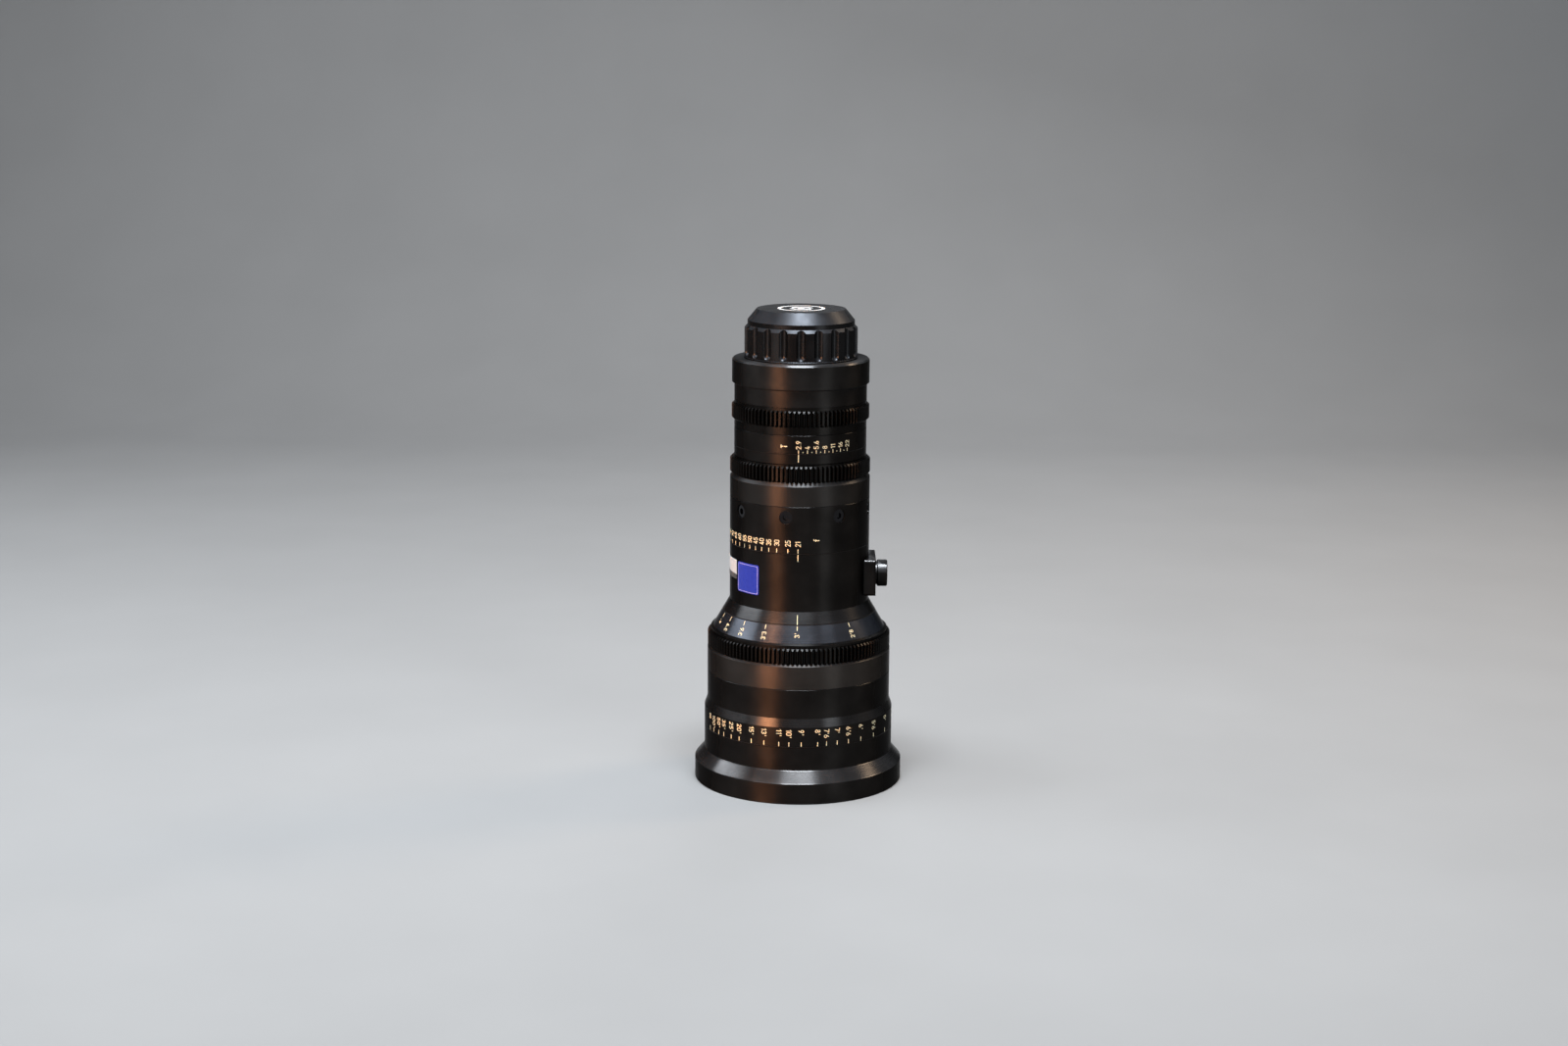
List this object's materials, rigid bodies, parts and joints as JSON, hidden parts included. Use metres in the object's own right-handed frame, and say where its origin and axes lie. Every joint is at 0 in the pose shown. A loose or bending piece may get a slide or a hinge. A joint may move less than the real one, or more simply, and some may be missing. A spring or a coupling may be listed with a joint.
{
  "type": "cinema zoom lens",
  "caption": "Cinema zoom lens with geared focus, zoom and iris rings, moving lens cells, a bladed iris, a support foot and a rear cap over its bayonet.",
  "frame": {"origin": "centre of the front face, on the surface that the lens stands on", "axes": "+Z runs back along the optical axis from the front glass to the mount, +X points out of the support foot, -Y faces the index marks"},
  "size_m": [0.114, 0.114, 0.2597],
  "materials": {
    "black_anodised": "black anodised, satin",
    "gear_black": "black anodised, semi-gloss",
    "dark_grey": "dark grey anodised, satin",
    "steel": "turned",
    "blackened_steel": "blackened",
    "brass": "turned",
    "glass": "coated and polished",
    "cap_plastic": "moulded, semi-gloss"
  },
  "bodies": {
    "lens_body": {"front_bell": "black_anodised", "front_tube": "dark_grey", "main_barrel": "black_anodised", "index_collar": "black_anodised", "rear_barrel": "black_anodised", "mount_collar": "dark_grey", "bayonet_ring": "steel", "bayonet_screws": "steel", "support_foot": "black_anodised", "foot_screws": "blackened_steel", "support_boss": "gear_black", "guide_barrel": "dark_grey", "iris_base": "dark_grey", "relay_cell": "black_anodised", "relay_glass": "glass", "rear_glass": "glass", "rear_retainer": "black_anodised"},
    "focus_ring_body": {"focus_sleeve": "brass", "focus_ring": "black_anodised", "focus_gear": "gear_black", "focus_scale_cone": "dark_grey"},
    "focus_cell_body": {"focus_cell": "black_anodised", "focus_pins": "steel", "front_glass": "glass", "front_retainer": "black_anodised", "focus_rear_glass": "glass", "focus_rear_retainer": "black_anodised"},
    "zoom_ring_body": {"zoom_gear": "gear_black", "zoom_scale_ring": "black_anodised", "zoom_screws": "blackened_steel", "zoom_key": "steel", "cam_barrel": "brass"},
    "variator_body": {"variator_cell": "black_anodised", "variator_rollers": "steel", "variator_glass": "glass", "variator_retainer": "black_anodised"},
    "compensator_body": {"compensator_cell": "black_anodised", "compensator_rollers": "steel", "compensator_glass": "glass", "compensator_retainer": "black_anodised"},
    "iris_ring_body": {"iris_ring": "black_anodised", "iris_gear": "gear_black", "iris_key": "steel", "iris_actuator": "dark_grey"},
    "cap_body": {"rear_cap": "cap_plastic"},
    "blade_1_body": {"iris_blade_1": "blackened_steel"},
    "blade_2_body": {"iris_blade_2": "blackened_steel"},
    "blade_3_body": {"iris_blade_3": "blackened_steel"},
    "blade_4_body": {"iris_blade_4": "blackened_steel"},
    "blade_5_body": {"iris_blade_5": "blackened_steel"},
    "blade_6_body": {"iris_blade_6": "blackened_steel"},
    "blade_7_body": {"iris_blade_7": "blackened_steel"},
    "blade_8_body": {"iris_blade_8": "blackened_steel"},
    "blade_9_body": {"iris_blade_9": "blackened_steel"}
  },
  "joints": [
    {"name": "focus_turn", "type": "hinge", "parent": "lens_body", "child": "focus_ring_body", "pos_m": [0, 0, 0.06], "axis": [0, 0, 1], "range_deg": [-40.4, 246.7]},
    {"name": "focus_slide", "type": "slide", "parent": "lens_body", "child": "focus_cell_body", "axis": [0, 0, 1], "range_m": [-0.0015, 0.0087]},
    {"name": "zoom_turn", "type": "hinge", "parent": "lens_body", "child": "zoom_ring_body", "pos_m": [0, 0, 0.155], "axis": [0, 0, 1], "range_deg": [0, 114]},
    {"name": "variator_slide", "type": "slide", "parent": "lens_body", "child": "variator_body", "axis": [0, 0, 1], "range_m": [0, 0.0343]},
    {"name": "compensator_slide", "type": "slide", "parent": "lens_body", "child": "compensator_body", "axis": [0, 0, 1], "range_m": [-0.0103, 0]},
    {"name": "iris_turn", "type": "hinge", "parent": "lens_body", "child": "iris_ring_body", "pos_m": [0, 0, 0.198], "axis": [0, 0, 1], "range_deg": [-45.6, 0]},
    {"name": "cap_lift", "type": "slide", "parent": "lens_body", "child": "cap_body", "axis": [0, 0, 1], "range_m": [0, 0.045]},
    {"name": "blade_1_pivot", "type": "hinge", "parent": "lens_body", "child": "blade_1_body", "pos_m": [0.0278, 0, 0.1924], "axis": [0, 0, 1], "range_deg": [-27.7, 0]},
    {"name": "blade_2_pivot", "type": "hinge", "parent": "lens_body", "child": "blade_2_body", "pos_m": [0.0213, 0.01787, 0.19266], "axis": [0, 0, 1], "range_deg": [-27.7, 0]},
    {"name": "blade_3_pivot", "type": "hinge", "parent": "lens_body", "child": "blade_3_body", "pos_m": [0.00483, 0.02738, 0.19292], "axis": [0, 0, 1], "range_deg": [-27.7, 0]},
    {"name": "blade_4_pivot", "type": "hinge", "parent": "lens_body", "child": "blade_4_body", "pos_m": [-0.0139, 0.02408, 0.19318], "axis": [0, 0, 1], "range_deg": [-27.7, 0]},
    {"name": "blade_5_pivot", "type": "hinge", "parent": "lens_body", "child": "blade_5_body", "pos_m": [-0.02612, 0.00951, 0.19344], "axis": [0, 0, 1], "range_deg": [-27.7, 0]},
    {"name": "blade_6_pivot", "type": "hinge", "parent": "lens_body", "child": "blade_6_body", "pos_m": [-0.02612, -0.00951, 0.1937], "axis": [0, 0, 1], "range_deg": [-27.7, 0]},
    {"name": "blade_7_pivot", "type": "hinge", "parent": "lens_body", "child": "blade_7_body", "pos_m": [-0.0139, -0.02408, 0.19396], "axis": [0, 0, 1], "range_deg": [-27.7, 0]},
    {"name": "blade_8_pivot", "type": "hinge", "parent": "lens_body", "child": "blade_8_body", "pos_m": [0.00483, -0.02738, 0.19422], "axis": [0, 0, 1], "range_deg": [-27.7, 0]},
    {"name": "blade_9_pivot", "type": "hinge", "parent": "lens_body", "child": "blade_9_body", "pos_m": [0.0213, -0.01787, 0.19448], "axis": [0, 0, 1], "range_deg": [-27.7, 0]}
  ],
  "couplings": [
    {"joint": "focus_slide", "follows": "focus_turn", "m_per_rad": 0.0020054},
    {"joint": "variator_slide", "follows": "zoom_turn", "m_per_rad": 0.017189},
    {"joint": "compensator_slide", "follows": "zoom_turn", "m_per_rad": -0.0051566},
    {"joint": "blade_1_pivot", "follows": "iris_turn", "ratio": 0.60701},
    {"joint": "blade_2_pivot", "follows": "iris_turn", "ratio": 0.60701},
    {"joint": "blade_3_pivot", "follows": "iris_turn", "ratio": 0.60701},
    {"joint": "blade_4_pivot", "follows": "iris_turn", "ratio": 0.60701},
    {"joint": "blade_5_pivot", "follows": "iris_turn", "ratio": 0.60701},
    {"joint": "blade_6_pivot", "follows": "iris_turn", "ratio": 0.60701},
    {"joint": "blade_7_pivot", "follows": "iris_turn", "ratio": 0.60701},
    {"joint": "blade_8_pivot", "follows": "iris_turn", "ratio": 0.60701},
    {"joint": "blade_9_pivot", "follows": "iris_turn", "ratio": 0.60701}
  ]
}
